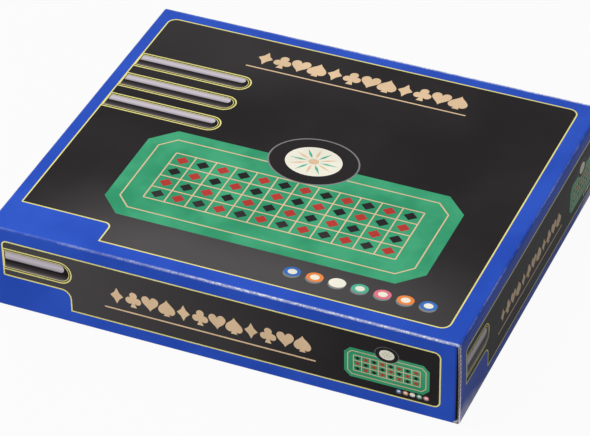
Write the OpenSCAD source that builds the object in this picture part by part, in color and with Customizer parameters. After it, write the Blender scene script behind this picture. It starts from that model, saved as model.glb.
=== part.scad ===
// Boxed roulette game: a corrugated-board tray and lift-off lid, a formed insert,
// a wheel that spins in its bowl, a rake, balls, chips, a folded cloth and a leaflet.
// Origin on the table under the middle of the closed case, +X to its right end, +Z up.

/* [Board] */
// Thickness of the corrugated board of lid and tray
board = 1.6; // [1.2:0.1:2.2]
// Gap between two plies of board folded onto each other
ply_gap = 0.3; // [0.2:0.1:0.6]
// Gap between lid and tray on each side
lid_gap = 0.8; // [0.5:0.1:1.5]
// How far the free middle of a lid end bows outwards
lid_bow = 0.9; // [0.3:0.1:1.6]
// Height of the lid's lower edge above the table
lid_stand = 1; // [0.5:0.1:4]
// Length of the corner flaps tucked between the plies
flap_l = 46; // [25:1:70]

/* [Insert] */
// Thickness of the formed plastic sheet
form_t = 0.8; // [0.6:0.1:1.2]
// Gap between insert and tray
insert_gap = 0.8; // [0.4:0.1:1.5]
// Plain deck left between the wheel's well and the insert's edge
deck_edge = 2.2; // [1.8:0.1:6]
// Plain deck between neighbouring lanes
lane_web = 2.4; // [2:0.1:5]
// Deck beyond the chips, at the right end
end_web = 4.1; // [3:0.1:14]
// Depth of the skirt round the insert's edge
skirt_h = 9; // [4:1:20]
// Radius of the finger wells beside the wheel
finger_r = 15; // [10:1:20]

/* [Wheel] */
// Diameter of the wheel bowl
wheel_d = 250; // [230:1:280]
// Height of the bowl's rim above its foot
bowl_h = 36; // [32:1:42]
// Wall of bowl and rotor
bowl_t = 2.2; // [1.8:0.1:3]
// Gap between the bowl and its well in the insert
well_gap = 1; // [0.5:0.1:2]
// Radius of the rotor
rotor_r = 75; // [66:1:80]
// Gap between rotor and bowl
rotor_gap = 1.5; // [1:0.1:3]
// Number of ball pockets
pockets = 37; // [24:1:38]
// Radius of the spindle pin
pin_r = 2; // [1.5:0.1:3]
// Gap between the pin and the rotor's bore
pin_gap = 0.06; // [0.03:0.01:0.1]
// Reach of the turret's arms from the axis
arm_reach = 24; // [16:1:32]
// Headroom over the turret
headroom = 7; // [2:0.1:15]

/* [Play pieces] */
// Radius of a chip
chip_r = 11; // [9:0.5:14]
// Thickness of a chip
chip_t = 1.8; // [1.4:0.1:2.4]
// Chips of each colour
chips_each = 18; // [6:1:20]
// Radius of a ball
ball_r = 6; // [4:0.5:7]
// Radius of the rake's stick
stick_r = 2; // [1.5:0.1:3]
// Radius of the rake's grip
grip_r = 4.5; // [4:0.1:6]
// Length of the rake's grip
grip_l = 66; // [40:1:80]
// Width of the rake's blade
blade_w = 48; // [30:1:56]
// Height of the rake's blade
blade_h = 19; // [14:1:24]
// Gap left round each play piece in its place
piece_gap = 0.6; // [0.4:0.1:1]

/* [Paper and cloth] */
// Thickness of one layer of the playing cloth
cloth_t = 0.8; // [0.5:0.1:1.2]
// Length of the folded cloth
cloth_l = 280; // [240:1:285]
// Width of the folded cloth
cloth_w = 140; // [120:1:220]
// Length of the folded leaflet
leaflet_l = 210; // [150:1:260]
// Width of the folded leaflet
leaflet_w = 148; // [105:1:200]
// Thickness of one layer of the leaflet
leaflet_t = 0.2; // [0.1:0.05:0.4]

/* [Hidden] */
$fn = 48;

// Plies of a case end: outer wall, tucked flap and rolled-over inner wall
plies_t = 3 * board + 2 * ply_gap;

// Plan of the insert, worked out from what lies in it
well_r = wheel_d / 2 + well_gap;
grip_side = grip_r + piece_gap;
stick_side = stick_r + piece_gap;
chip_side = chip_r + piece_gap;
insert_d = 2 * (well_r + deck_edge);
insert_w = deck_edge + 2 * well_r + lane_web + stick_side + grip_side + lane_web
         + 2 * chip_side + end_web;
wheel_x = -insert_w / 2 + deck_edge + well_r;
rake_x = wheel_x + well_r + lane_web + stick_side;
chip_x = rake_x + grip_side + lane_web + chip_side;

// Plan of tray and lid round the insert
room_w = insert_w + 2 * insert_gap;
room_d = insert_d + 2 * insert_gap;
tray_w = room_w + 2 * plies_t;
tray_d = room_d + 2 * board;
case_w = tray_w + 2 * (lid_gap + plies_t);
case_d = tray_d + 2 * (lid_gap + board);

// Bowl of the wheel: radii, and heights above its foot
foot_h = 1;
foot_w = 3;
well_floor = foot_h + bowl_t;
boss_r = 7;
boss_h = 5;
cup_r = rotor_r + rotor_gap + bowl_t / 2;
cup_top = well_floor + 6;
rim_r = wheel_d / 2 - bowl_t / 2;
rim_roll = 5;
rim_skirt = 12;
track_w = 8;
track_rise = 11;
track_step = 0.8;
track_in = rim_r - 2 * rim_roll - track_w - 1;
slope_top = bowl_h - rim_roll - track_rise - track_step;
deflectors = 8;
deflector_l = 11;
deflector_w = 4;
deflector_h = 1.4;

// Rotor on its pin and washer
washer_r = 6;
washer_t = 0.8;
rotor_rest = well_floor + boss_h + washer_t;
ring_w = 15;
ring_rise = 1.8;
ring_t = 0.4;
ring_edge = 2.6;
pocket_l = 13;
pocket_wall = 3.6;
fret_t = 0.8;
pocket_z = rotor_rest - 0.6;
ring_in = rotor_r - ring_w;
ring_z = pocket_z + pocket_wall;
pocket_in = ring_in - pocket_l;
cone_foot = 2;
cone_drop = 7;
hub_r = 9;
hub_top = 27;
bore_top = hub_top - 2;
pin_foot = foot_h + bowl_t / 2;
pin_end_gap = 1;

// Turret: post, cross with four knobbed arms, nut
post_h = 14;
post_r = 4.4;
cross_h = 3.4;
arm_r = 1.2;
knob_r = 2.6;
nut_h = 4;
turret_top = hub_top + post_h + cross_h + nut_h;

// Height stack, from the table up
cloth_layers = 4;
leaflet_layers = 2;
cloth_z = board;
leaflet_z = cloth_z + cloth_layers * cloth_t;
insert_z = leaflet_z + leaflet_layers * leaflet_t;
wheel_z = insert_z + form_t;
deck_z = wheel_z + bowl_h;
tray_h = wheel_z + turret_top + headroom;
case_h = tray_h + board;
clear_h = case_h;

// Finger wells cut into the wheel's well on its left
finger_depth = 22;
finger_offset = 2;

// Rake along its lane, grip towards the front
lane_end = insert_d / 2 - deck_edge - form_t - piece_gap;
rake_front = -lane_end;
rake_z = deck_z - grip_r + 1.5;
grip_cap = 8;
blade_t = 1.8;
blade_sag = 5;
blade_y = lane_end - blade_t;
socket_l = 12;
socket_r = stick_r + 1.4;
stick_front = rake_front + grip_cap;
stick_back = blade_y - blade_sag - 2;

// Chips on edge in one row, each disc with a raised rim on both faces
chip_gap = 0.06;
chip_rim = 2;
chip_dish = 0.25;
stack_l = chips_each * (chip_t + chip_gap);
stack_gap = 1.2;
row_l = 5 * stack_l + 4 * stack_gap;
chip_z = deck_z + 1.5;

// Balls in the front right corner
ball_x = rake_x - grip_side - lane_web - ball_r - piece_gap;
ball_y = rake_front + ball_r + 3;
ball_pitch = 2 * (ball_r + piece_gap) + lane_web;
ball_z = deck_z - 1;

// Path with its sharp corners turned into arcs of radius r
function rounded(path, r) = [
    path[0],
    for (i = [1 : len(path) - 2])
        let (to_last = path[i - 1] - path[i],
             to_next = path[i + 1] - path[i],
             u = to_last / norm(to_last),
             v = to_next / norm(to_next),
             half_angle = acos(u * v) / 2,
             turn = 180 - 2 * half_angle)
        each turn < 30 ? [path[i]] :
            let (centre = path[i] + (u + v) / norm(u + v) * r / sin(half_angle),
                 from = path[i] + u * r / tan(half_angle) - centre,
                 start = atan2(from[1], from[0]),
                 sweep = cross(u, v) < 0 ? turn : -turn,
                 steps = 4)
            [for (k = [0 : steps])
                centre + r * [cos(start + sweep * k / steps), sin(start + sweep * k / steps)]],
    path[len(path) - 1]
];

// Points beside a path at distance d, mitred at the bends
function beside(path, d) = [
    for (i = [0 : len(path) - 1])
        let (a = i > 0 ? path[i] - path[i - 1] : path[1] - path[0],
             b = i < len(path) - 1 ? path[i + 1] - path[i] : a,
             na = [-a[1], a[0]] / norm(a),
             nb = [-b[1], b[0]] / norm(b),
             n = (na + nb) / norm(na + nb))
        path[i] + n * d / (n * na)
];

function backwards(list) = [for (i = [len(list) - 1 : -1 : 0]) list[i]];

// Outline of one sheet of thickness t bent along a path
module sheet(path, t) {
    bent = rounded(path, 0.75 * t);
    polygon(concat(beside(bent, t / 2), backwards(beside(bent, -t / 2))));
}

// A wall that bows by b between its lower and upper edge
function bowed(x, z0, z1, b) =
    let (steps = b > 0 ? 6 : 1)
    [for (i = [0 : steps]) [x + b * sin(180 * i / steps), z0 + (z1 - z0) * i / steps]];

// The same path on the other side, run the other way
function mirrored(path) = [for (p = backwards(path)) [-p[0], p[1]]];

// Folded tray, floor down: single front and back walls whose flaps
// are tucked into the rolled-over ends
module folded_tray(w, d, h, bow) {
    out_x = (w - board) / 2;
    in_x = out_x - plies_t + board;
    flap_x = (out_x + in_x) / 2;
    wall_y = (d - board) / 2;
    mid = board / 2;
    fold = 0.75 * board;
    inner_d = d - 2 * (board + ply_gap);

    // floor and end walls, which roll over at the top and come down inside
    end_wall = concat(bowed(out_x, mid, h - mid, bow),
                      [[in_x, h - mid], [in_x, board + ply_gap]]);
    difference() {
        rotate([90, 0, 0])
            linear_extrude(d, center = true)
                sheet(concat(mirrored(end_wall), end_wall), board);
        for (side = [-1, 1])
            translate([0, side * (inner_d + d) / 2, board + ply_gap / 2 + h / 2])
                cube([2 * (out_x - mid), d - inner_d, h], center = true);
    }

    // front and back walls with their tucked corner flaps
    for (side = [-1, 1]) {
        translate([0, 0, board + ply_gap])
            linear_extrude(h - 2 * (board + ply_gap))
                sheet([[-flap_x, side * (wall_y - flap_l)], [-flap_x, side * wall_y],
                       [flap_x, side * wall_y], [flap_x, side * (wall_y - flap_l)]], board);
        translate([fold - flap_x, side * wall_y - mid, mid])
            cube([2 * (flap_x - fold), board, h - mid]);
    }
}

module tray() color("white")
    folded_tray(tray_w, tray_d, tray_h, 0);

module lid() color("royalblue")
    translate([0, 0, case_h])
        rotate([180, 0, 0])
            folded_tray(case_w, case_d, case_h - lid_stand, lid_bow);

// A box-shaped pocket between two corners, grown by g, open upwards
module pocket(from, to, floor_z, g)
    translate([from[0] - g, from[1] - g, floor_z - g])
        cube([to[0] - from[0] + 2 * g, to[1] - from[1] + 2 * g, clear_h]);

// Everything hollow in the insert, grown by g on every side
module insert_hollows(g) {
    // well of the wheel, with two finger wells
    translate([wheel_x, 0, wheel_z - g])
        cylinder(r = well_r + g, h = clear_h, $fn = 96);
    for (a = [135, 225])
        translate([wheel_x, 0, deck_z - finger_depth - g])
            rotate(a)
                translate([well_r + finger_offset, 0, 0])
                    cylinder(r = finger_r + g, h = clear_h);
    // stick, grip and blade of the rake, which rests on grip and blade
    pocket([rake_x - stick_side, rake_front], [rake_x + stick_side, blade_y],
           rake_z - stick_side, g);
    pocket([rake_x - grip_side, rake_front - piece_gap],
           [rake_x + grip_side, rake_front + grip_l + piece_gap], rake_z - grip_r, g);
    pocket([rake_x - blade_w / 2 - piece_gap, blade_y - blade_sag - socket_l - piece_gap],
           [rake_x + blade_w / 2 + piece_gap, lane_end + piece_gap], rake_z - blade_h / 2, g);
    // trough under the row of chips
    translate([chip_x, rake_front - piece_gap - g, chip_z + piece_gap])
        rotate([-90, 0, 0])
            cylinder(r = chip_side + g, h = row_l + 2 * (piece_gap + g));
    // cups of the balls
    for (i = [0, 1])
        translate([ball_x - i * ball_pitch, ball_y, ball_z + piece_gap]) {
            sphere(r = ball_r + piece_gap + g);
            cylinder(r = ball_r + piece_gap + g, h = clear_h);
        }
}

module insert() color("dimgray")
    difference() {
        union() {
            translate([-insert_w / 2, -insert_d / 2, deck_z - form_t])
                cube([insert_w, insert_d, form_t]);
            difference() {
                translate([-insert_w / 2, -insert_d / 2, deck_z - skirt_h])
                    cube([insert_w, insert_d, skirt_h]);
                translate([-insert_w / 2 + form_t, -insert_d / 2 + form_t, deck_z - skirt_h - 1])
                    cube([insert_w - 2 * form_t, insert_d - 2 * form_t, skirt_h + 1 - form_t / 2]);
            }
            intersection() {
                insert_hollows(form_t);
                translate([-insert_w / 2, -insert_d / 2, 0])
                    cube([insert_w, insert_d, deck_z]);
            }
        }
        insert_hollows(0);
    }

module playing_cloth() color("seagreen")
    for (i = [0 : cloth_layers - 1])
        translate([-cloth_l / 2, -cloth_w / 2, cloth_z + i * cloth_t])
            cube([cloth_l, cloth_w, cloth_t]);

module rules_leaflet() color("ivory")
    translate([-leaflet_l / 2, -leaflet_w / 2, leaflet_z])
        cube([leaflet_l, leaflet_w, leaflet_layers * leaflet_t]);

// Places a wheel part: its own height counts from the bowl's foot
module on_wheel() translate([wheel_x, 0, wheel_z]) children();

// A sheet turned about the wheel's axis
module turned(path, t)
    rotate_extrude($fn = 96)
        sheet(path, t);

// Raised diamonds on the bowl's slope, lengthwise and crosswise by turns
module ball_deflectors() {
    tilt = atan2(slope_top - cup_top, track_in - cup_r);
    for (i = [0 : deflectors - 1]) {
        along = i % 2 == 0 ? deflector_l : deflector_w;
        across = i % 2 == 0 ? deflector_w : deflector_l;
        rotate((i + 0.5) * 360 / deflectors)
            translate([(cup_r + track_in) / 2, 0, (cup_top + slope_top) / 2])
                rotate([0, -tilt, 0])
                    linear_extrude(bowl_t / 2 + deflector_h)
                        polygon([[along / 2, 0], [0, across / 2], [-along / 2, 0], [0, -across / 2]]);
    }
}

module wheel_bowl() color([0.06, 0.06, 0.07])
    on_wheel()
        difference() {
            union() {
                roll_z = bowl_h - rim_roll - bowl_t / 2;
                turned(concat(
                    [[0, pin_foot], [cup_r, pin_foot], [cup_r, cup_top], [track_in, slope_top]],
                    // ball track, curving up into the inner wall
                    [for (a = [20 : 20 : 80])
                        [track_in + track_w * sin(a), slope_top + track_rise * (1 - cos(a))]],
                    // rolled rim and its outer skirt
                    [for (a = [180 : -30 : 0])
                        [rim_r - rim_roll + rim_roll * cos(a), roll_z + rim_roll * sin(a)]],
                    [[rim_r, bowl_h - rim_skirt]]), bowl_t);
                rotate_extrude($fn = 96)
                    translate([rotor_r - foot_w, 0])
                        square([foot_w, pin_foot]);
                translate([0, 0, foot_h])
                    cylinder(r = boss_r, h = bowl_t + boss_h);
                ball_deflectors();
            }
            translate([0, 0, pin_foot])
                cylinder(r = pin_r, h = clear_h);
        }

module spindle_pin() color("silver")
    on_wheel()
        translate([0, 0, pin_foot])
            cylinder(r = pin_r, h = bore_top - pin_end_gap - pin_foot);

module thrust_washer() color("goldenrod")
    on_wheel()
        translate([0, 0, well_floor + boss_h])
            difference() {
                cylinder(r = washer_r, h = washer_t);
                translate([0, 0, -1])
                    cylinder(r = pin_r + pin_gap, h = washer_t + 2);
            }

module rotor() color([0.1, 0.1, 0.11])
    on_wheel()
        difference() {
            union() {
                half = bowl_t / 2;
                turned([[rotor_r - half, well_floor + rotor_gap],
                        [rotor_r - half, ring_z + ring_rise - half],
                        [ring_in + half, ring_z - half], [ring_in + half, pocket_z - half],
                        [pocket_in - half, pocket_z - half], [pocket_in - half, ring_z + cone_foot],
                        [hub_r / 2, hub_top - cone_drop]], bowl_t);
                for (i = [0 : pockets - 1])
                    rotate(i * 360 / pockets)
                        translate([pocket_in - half, -fret_t / 2, pocket_z - half])
                            cube([pocket_l + bowl_t, fret_t, pocket_wall + half]);
                translate([0, 0, rotor_rest])
                    cylinder(r = hub_r, h = hub_top - rotor_rest);
            }
            translate([0, 0, rotor_rest - 1])
                cylinder(r = pin_r + pin_gap, h = bore_top - rotor_rest + 1);
        }

// Height of the rotor's numbered slope at radius r
ring_slope = ring_rise / (ring_w - bowl_t);
function ring_top(r) = ring_z - bowl_t / 2 + bowl_t / 2 / cos(atan(ring_slope))
                     + ring_slope * (r - ring_in - bowl_t / 2);

module number_ring() color("ivory")
    on_wheel()
        rotate_extrude($fn = 96) {
            a = ring_in + ring_edge;
            b = rotor_r - ring_edge;
            polygon([[a, ring_top(a)], [b, ring_top(b)], [b, ring_top(b) + ring_t],
                     [a, ring_top(a) + ring_t]]);
        }

module turret_post() color("gold")
    on_wheel()
        translate([0, 0, hub_top])
            rotate_extrude()
                polygon([[0, 0], [hub_r, 0], [hub_r, 1.2], [6, 2.4], [3.6, 5], [3, post_h - 5],
                         [post_r, post_h - 3], [post_r, post_h], [0, post_h]]);

module turret_cross() color("gold")
    on_wheel()
        translate([0, 0, hub_top + post_h]) {
            cylinder(r = post_r, h = cross_h);
            for (a = [0 : 90 : 270])
                rotate(a)
                    translate([0, 0, cross_h / 2]) {
                        rotate([0, 90, 0])
                            cylinder(r = arm_r, h = arm_reach - knob_r);
                        translate([arm_reach - knob_r, 0, 0])
                            sphere(r = knob_r);
                    }
        }

module turret_nut() color("gold")
    on_wheel()
        translate([0, 0, hub_top + post_h + cross_h])
            rotate_extrude()
                polygon([[0, 0], [3.6, 0], [3.6, 1], [2, 1.8], [2.4, 2.8], [1.6, 3.6], [0, nut_h]]);

module balls() color("white")
    for (i = [0, 1])
        translate([ball_x - i * ball_pitch, ball_y, ball_z])
            sphere(r = ball_r);

module rake_stick() color("burlywood")
    translate([rake_x, stick_front, rake_z])
        rotate([-90, 0, 0])
            cylinder(r = stick_r, h = stick_back - stick_front);

module rake_grip() color([0.08, 0.08, 0.08])
    translate([rake_x, rake_front, rake_z])
        rotate([-90, 0, 0])
            difference() {
                rotate_extrude()
                    polygon([[0, 0], [grip_r - 1, 0], [grip_r, 1], [grip_r, grip_l - 4],
                             [grip_r - 1.4, grip_l], [0, grip_l]]);
                translate([0, 0, grip_cap])
                    cylinder(r = stick_r, h = grip_l);
            }

module rake_blade() color([0.08, 0.08, 0.08]) {
    bend_r = (blade_w * blade_w / 4 + blade_sag * blade_sag) / (2 * blade_sag);
    socket_y = blade_y - blade_sag - socket_l;
    translate([rake_x, 0, rake_z])
        difference() {
            union() {
                intersection() {
                    translate([0, lane_end - bend_r, -blade_h / 2])
                        difference() {
                            cylinder(r = bend_r, h = blade_h, $fn = 96);
                            translate([0, 0, -1])
                                cylinder(r = bend_r - blade_t, h = blade_h + 2, $fn = 96);
                        }
                    translate([-blade_w / 2, blade_y - 2 * blade_sag, -blade_h / 2])
                        cube([blade_w, 2 * blade_sag + blade_t, blade_h]);
                }
                translate([0, socket_y, 0])
                    rotate([-90, 0, 0])
                        cylinder(r = socket_r, h = socket_l + blade_sag + blade_t / 2);
            }
            translate([0, socket_y - 1, 0])
                rotate([-90, 0, 0])
                    cylinder(r = stick_r, h = stick_back - socket_y + 1);
        }
}

module chip()
    difference() {
        cylinder(r = chip_r, h = chip_t);
        for (z = [-1, chip_t - chip_dish])
            translate([0, 0, z])
                cylinder(r = chip_r - chip_rim, h = 1 + chip_dish);
    }

// One stack of chips, its place counted from the front
module chips(stack)
    for (i = [0 : chips_each - 1])
        translate([chip_x, rake_front + stack * (stack_l + stack_gap) + i * (chip_t + chip_gap), chip_z])
            rotate([-90, 0, 0])
                chip();

tray();
lid();
insert();
playing_cloth();
rules_leaflet();
wheel_bowl();
spindle_pin();
thrust_washer();
rotor();
number_ring();
turret_post();
turret_cross();
turret_nut();
balls();
rake_stick();
rake_grip();
rake_blade();
color("steelblue") chips(0);  // chips_blue
color("darkorange") chips(1);  // chips_orange
color("white") chips(2);  // chips_white
color("mediumseagreen") chips(3);  // chips_green
color("palevioletred") chips(4);  // chips_pink
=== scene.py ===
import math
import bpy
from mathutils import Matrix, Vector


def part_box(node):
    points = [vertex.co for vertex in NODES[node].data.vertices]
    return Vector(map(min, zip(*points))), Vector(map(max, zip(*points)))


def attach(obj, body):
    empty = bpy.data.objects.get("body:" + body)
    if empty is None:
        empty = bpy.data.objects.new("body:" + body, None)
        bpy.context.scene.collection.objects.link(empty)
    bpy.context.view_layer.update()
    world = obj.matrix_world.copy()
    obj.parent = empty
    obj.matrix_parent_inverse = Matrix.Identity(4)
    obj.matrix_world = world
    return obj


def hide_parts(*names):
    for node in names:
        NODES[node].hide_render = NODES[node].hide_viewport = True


bl_info = {
    "name": "Roulette set case",
    "version": (1, 0, 0),
    "blender": (4, 5, 0),
    "location": "3D View > Sidebar > Game case",
    "description": "Dresses the packed case: lid, tray, wheel, chips, rake, cloth and leaflet",
    "category": "Object",
}

from functools import partialmethod

import bmesh
import bpy
import numpy as np
from mathutils import Matrix, Vector, geometry

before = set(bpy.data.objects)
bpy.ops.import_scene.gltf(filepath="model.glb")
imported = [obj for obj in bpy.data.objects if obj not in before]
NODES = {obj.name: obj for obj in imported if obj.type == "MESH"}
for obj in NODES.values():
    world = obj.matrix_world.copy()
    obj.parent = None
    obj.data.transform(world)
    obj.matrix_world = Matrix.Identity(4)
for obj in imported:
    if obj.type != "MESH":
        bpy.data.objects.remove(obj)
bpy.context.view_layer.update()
MM = 0.001

LID_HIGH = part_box("lid")[1]
TRAY_LOW, TRAY_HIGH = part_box("tray")
BOWL_LOW, BOWL_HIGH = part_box("wheel_bowl")
CLOTH_LOW, CLOTH_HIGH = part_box("playing_cloth")

# the case, in millimetres
TOP = LID_HIGH.z / MM                  # height of the lid's top
HALF_D = LID_HIGH.y / MM               # half the case's depth
BOW = 0.9                              # how far the lid's ends bow out
HALF_W = LID_HIGH.x / MM - BOW         # half the case's width at the corners
FOOT = 1.0                             # height of the lid's foot
BOARD = 1.6                            # thickness of the board
PLIES = 5.4                            # thickness of a rolled-over end
FLUTE = 2 * math.pi / 3.2              # turns the flutes' pitch of 3.2 into a wave
TRAY_FOLD = 0.9                        # rounding of the tray's folds
FLAPS = 105                            # the corner flaps lie beyond this, in y

# the wheel, in millimetres from its axis
WHEEL = Vector(((BOWL_LOW.x + BOWL_HIGH.x) / 2, 0, 0))
POCKETS = 37
POCKET_INNER, POCKET_OUTER = 47, 60
RING_INNER, RING_OUTER = 62.6, 72.4    # the slope of the number ring
RING_EDGE = 0.4                        # height of the ring's outer edge
FONT_SIZE = 1.35                       # font size of a numeral of height 1
NUMERAL_WIDTH = 0.82                   # how far numerals are narrowed
WHEEL_ORDER = [0, 32, 15, 19, 4, 21, 2, 25, 17, 34, 6, 27, 13, 36, 11, 30, 8, 23, 10, 5, 24,
               16, 33, 1, 20, 14, 31, 9, 22, 18, 29, 7, 28, 12, 35, 3, 26]


def linear(red, green, blue):
    """A colour read off as 0 to 255 values, as the linear colour that a shader takes."""
    def one(value):
        value = value / 255
        return value / 12.92 if value <= 0.04045 else ((value + 0.055) / 1.055) ** 2.4
    return (one(red), one(green), one(blue))


def lighter(colour, times, plus):
    return tuple(min(1, c * times + plus) for c in colour)


# ---------------------------------------------------------------- materials

GLOSS_SHARE = 0.3          # how much of the white backdrop shows in reflections


class Value:
    """A socket that adds Math nodes when it is reckoned with."""

    def __init__(self, nodes, socket):
        self.nodes, self.socket = nodes, socket

    def all(self):
        """Every output of this socket's node, as values."""
        return [Value(self.nodes, socket) for socket in self.socket.node.outputs]

    def of(self, operation, *others):
        return self.nodes.node("ShaderNodeMath", {"operation": operation}, [self, *others])

    __add__ = __radd__ = partialmethod(of, "ADD")
    __sub__ = partialmethod(of, "SUBTRACT")
    __mul__ = __rmul__ = partialmethod(of, "MULTIPLY")
    __truediv__ = partialmethod(of, "DIVIDE")
    __abs__ = partialmethod(of, "ABSOLUTE")
    sin = partialmethod(of, "SINE")
    larger = partialmethod(of, "MAXIMUM")
    smaller = partialmethod(of, "MINIMUM")

    def __rsub__(self, other):
        return self.nodes.node("ShaderNodeMath", {"operation": "SUBTRACT"}, [other, self])

    def ramp(self, low, high):
        """0 below low, 1 above high, smooth between; low above high turns it over."""
        return self.nodes.node("ShaderNodeMapRange", {"interpolation_type": "SMOOTHSTEP"},
                               {"Value": self, "From Min": low, "From Max": high})


class Nodes:
    """Adds nodes to one tree: settings first, then the values or links of the sockets."""

    def __init__(self, tree):
        self.tree = tree
        tree.nodes.clear()

    def put(self, socket, value):
        if isinstance(value, Value):
            self.tree.links.new(value.socket, socket)
        elif value is not None:
            if socket.type == "RGBA" and len(value) == 3:
                value = (*value, 1)
            socket.default_value = value

    def node(self, kind, settings=None, inputs=None, output=0):
        """A new node, as the value of one output. Colour stops are set as settings are."""
        made = self.tree.nodes.new(kind)
        for name, value in (settings or {}).items():
            if name == "stops":
                ramp = made.color_ramp
                while len(ramp.elements) < len(value):
                    ramp.elements.new(0.5)
                for element, (place, colour) in zip(ramp.elements, value):
                    element.position, element.color = place, (*colour, 1)
            else:
                setattr(made, name, value)
        pairs = inputs.items() if isinstance(inputs, dict) else enumerate(inputs or [])
        for key, value in pairs:
            self.put(made.inputs[key], value)
        return Value(self, made.outputs[output]) if made.outputs else None

    def mix(self, factor, first, second):
        """Colour first where factor is 0, second where it is 1."""
        return self.node("ShaderNodeMix", {"data_type": "RGBA"},
                         {0: factor, 6: first, 7: second}, output=2)

    def seen_white(self, plain, white, share):
        """Shader plain, but white by a share to the camera and through glass, less so in
        reflections."""
        camera, glossy, through = (self.node("ShaderNodeLightPath", output=name) for name in (
            "Is Camera Ray", "Is Glossy Ray", "Is Transmission Ray"))
        seen = camera.larger(through).larger(glossy * GLOSS_SHARE) * share
        return self.node("ShaderNodeMixShader", None, [seen, plain, white])


class Finish(Nodes):
    """One material. Numbers and colours that don't vary stand on the shader's own sockets."""

    def __init__(self, name, **sockets):
        self.material = bpy.data.materials.new(name)
        self.material.use_nodes = True
        super().__init__(self.material.node_tree)
        self.shader = self.node("ShaderNodeBsdfPrincipled")
        self.node("ShaderNodeOutputMaterial", None, [self.shader])
        self.coordinates = None
        self.set(**sockets)

    def set(self, **sockets):
        """Sets the shader's sockets and gives the material."""
        for name, value in sockets.items():
            name = name.replace("_", " ").title().replace("Ior", "IOR")
            self.put(self.shader.socket.node.inputs[name], value)
        return self.material

    def place(self):
        """The point on the piece, in millimetres, as three values."""
        if self.coordinates is None:
            self.point = self.node("ShaderNodeTexCoord", output="Object")
            split = self.node("ShaderNodeSeparateXYZ", None, [self.point])
            self.coordinates = [value * 1000 for value in split.all()]
        return self.coordinates

    def noise(self, scale, detail=3.0, roughness=0.5, stretch=(1, 1, 1)):
        """Noise of about one feature per scale millimetres, from 0 to 1."""
        self.place()
        at = self.point
        if stretch != (1, 1, 1):
            at = self.node("ShaderNodeMapping", None, {"Vector": at, "Scale": stretch})
        return self.node("ShaderNodeTexNoise", None,
                         {"Vector": at, "Scale": 1000 / scale, "Detail": detail,
                          "Roughness": roughness})

    def bump(self, height, distance, strength=1.0, under=None):
        """A normal from a height field; distance is in millimetres."""
        return self.node("ShaderNodeBump", None,
                         {"Height": height, "Distance": distance * MM, "Strength": strength,
                          "Normal": under})


PRINT = {"IOR": 1.42, "specular_ior_level": 0.12, "coat_weight": 0.02, "coat_roughness": 0.15}
TOP_BAR, BAR_STEP, BAR_HEIGHT = 11.6, 25, 16.6     # foot of the lowest bar on the top, in y
SIDE_BAR = (30.4, 47.4)                            # foot and head of a wall's bar, in z
WEAR_AND_HIGHLIGHT_WIDTH = 1.8                                   # how far from a fold the print is pale from rubbing and from the painted highlight


def crease_wear(finish):
    """How pale the print is along the lid's folded edges: from rubbing, in patches, and along the
    front fold also from a painted highlight that grows towards the right.
    """
    x, y, z = finish.place()
    side, front, top = abs(x) - HALF_W, abs(y) - HALF_D, z - TOP
    to_top_front = (front * front + top * top).of("SQRT")
    to_top_end = (side * side + top * top).of("SQRT")
    patches = finish.noise(22, 4, 0.65).ramp(0.40, 0.62)
    specks = finish.noise(1.3, 2, 0.6).ramp(0.46, 0.60)
    # painted highlight: the front fold's pale line grows towards the right, over patches of rubbing
    along = patches * 0.24 + 0.06 + x.ramp(-120, 40) * 0.76
    front_wear_and_highlight = to_top_front.ramp(WEAR_AND_HIGHLIGHT_WIDTH, 0.25) * along
    end_worn = to_top_end.ramp(WEAR_AND_HIGHLIGHT_WIDTH * 0.8, 0.2) * (patches * 0.6)
    corner = (abs(side) + abs(front)).ramp(3.2, 0.8) * specks
    wear_and_highlight = front_wear_and_highlight.larger(end_worn).larger(corner * 0.7)
    return (wear_and_highlight * (specks * 0.55 + 0.45)).smaller(1)


def board_coat(finish, roughness, colour, wear_and_highlight=None):
    """The glossy print on board: flute lines barely showing through, rougher where it wears and, on
    the border's blue, where the painted crease highlight lies.
    """
    wear_and_highlight = wear_and_highlight or finish.noise(9, 2).ramp(0.72, 0.9) * 0.1
    flutes = (finish.place()[0] * FLUTE).sin() * 0.5 + 0.5
    cockle = finish.noise(38, 2, 0.5)
    grain = finish.noise(0.55, 2, 0.5)
    height = flutes * 0.012 + cockle * 0.5 + grain * 0.004 - wear_and_highlight * 0.05
    return finish.set(roughness=wear_and_highlight * 0.35 + finish.noise(60, 2) * 0.08 + roughness,
                      normal=finish.bump(height, 1.0, 0.35), base_color=colour)


def printed_blue():
    """The border's blue, pale along the creases from rubbing and a painted highlight, and at the
    feet of the ends from rubbing and a painted reflection of the floor.
    """
    finish = Finish("print_blue_with_painted_light", **PRINT)
    x, y, z = finish.place()
    wear_and_highlight = crease_wear(finish)
    # feet of the ends: partly rubbing of the board, partly a painted reflection of the pale floor,
    # reaching higher near the corners
    foot = (abs(x).ramp(HALF_W - 2.5, HALF_W - 0.5)
            * (z / (abs(y).ramp(80, 126) * 14 + 3.5)).ramp(1, 0.1)
            * (finish.noise(16, 3).ramp(0.3, 0.6) * 0.5 + 0.5))
    blue = finish.mix(finish.noise(45, 3).ramp(0.35, 0.7), linear(34, 73, 178), linear(43, 83, 191))
    rubbed_and_reflecting = finish.mix(foot * 0.85, blue, linear(224, 226, 250))
    # the creases pale to near white: rubbing, and along the front fold a painted highlight
    return board_coat(finish, 0.34, finish.mix(wear_and_highlight, rubbed_and_reflecting, linear(226, 230, 240)), wear_and_highlight)


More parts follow.
